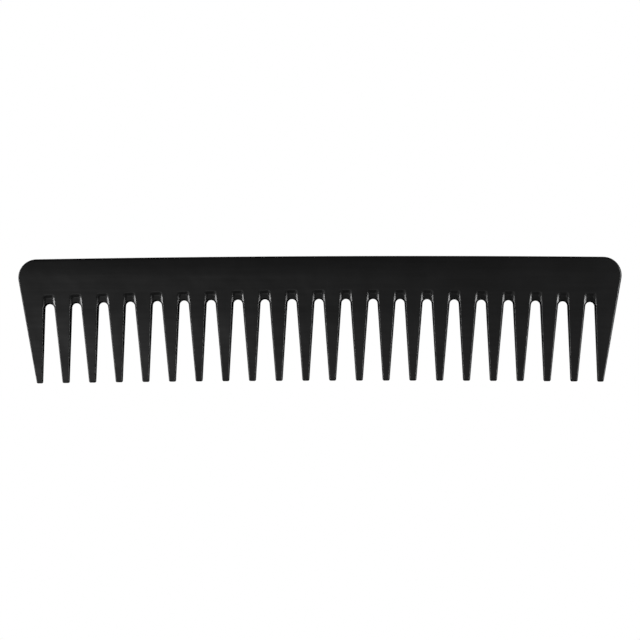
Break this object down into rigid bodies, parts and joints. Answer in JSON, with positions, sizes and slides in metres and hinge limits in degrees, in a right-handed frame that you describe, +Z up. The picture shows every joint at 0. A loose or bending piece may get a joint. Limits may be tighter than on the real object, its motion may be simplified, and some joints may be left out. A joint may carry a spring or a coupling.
{
  "type": "wide tooth comb",
  "caption": "Wide tooth hair comb: a gently bowed back with rounded top corners above a fan of long tapered teeth with round-crowned gaps, moulded in satin black plastic.",
  "frame": {"origin": "centre of the comb's outline, on the surface that the comb lies on", "axes": "+X along the comb's length, +Y from the teeth towards the back, +Z up through its thickness"},
  "size_m": [0.19, 0.0398, 0.0046],
  "materials": {
    "comb_plastic": "satin black moulding with a faint mottle"
  },
  "bodies": {
    "root": {"spine": "comb_plastic", "web_01": "comb_plastic", "web_02": "comb_plastic", "web_03": "comb_plastic", "web_04": "comb_plastic", "web_05": "comb_plastic", "web_06": "comb_plastic", "web_07": "comb_plastic", "web_08": "comb_plastic", "web_09": "comb_plastic", "web_10": "comb_plastic", "web_11": "comb_plastic", "web_12": "comb_plastic", "web_13": "comb_plastic", "web_14": "comb_plastic", "web_15": "comb_plastic", "web_16": "comb_plastic", "web_17": "comb_plastic", "web_18": "comb_plastic", "web_19": "comb_plastic", "web_20": "comb_plastic", "web_21": "comb_plastic", "web_22": "comb_plastic", "end_tooth_left": "comb_plastic", "tooth_02": "comb_plastic", "tooth_03": "comb_plastic", "tooth_04": "comb_plastic", "tooth_05": "comb_plastic", "tooth_06": "comb_plastic", "tooth_07": "comb_plastic", "tooth_08": "comb_plastic", "tooth_09": "comb_plastic", "tooth_10": "comb_plastic", "tooth_11": "comb_plastic", "tooth_12": "comb_plastic", "tooth_13": "comb_plastic", "tooth_14": "comb_plastic", "tooth_15": "comb_plastic", "tooth_16": "comb_plastic", "tooth_17": "comb_plastic", "tooth_18": "comb_plastic", "tooth_19": "comb_plastic", "tooth_20": "comb_plastic", "tooth_21": "comb_plastic", "end_tooth_right": "comb_plastic"}
  },
  "joints": []
}
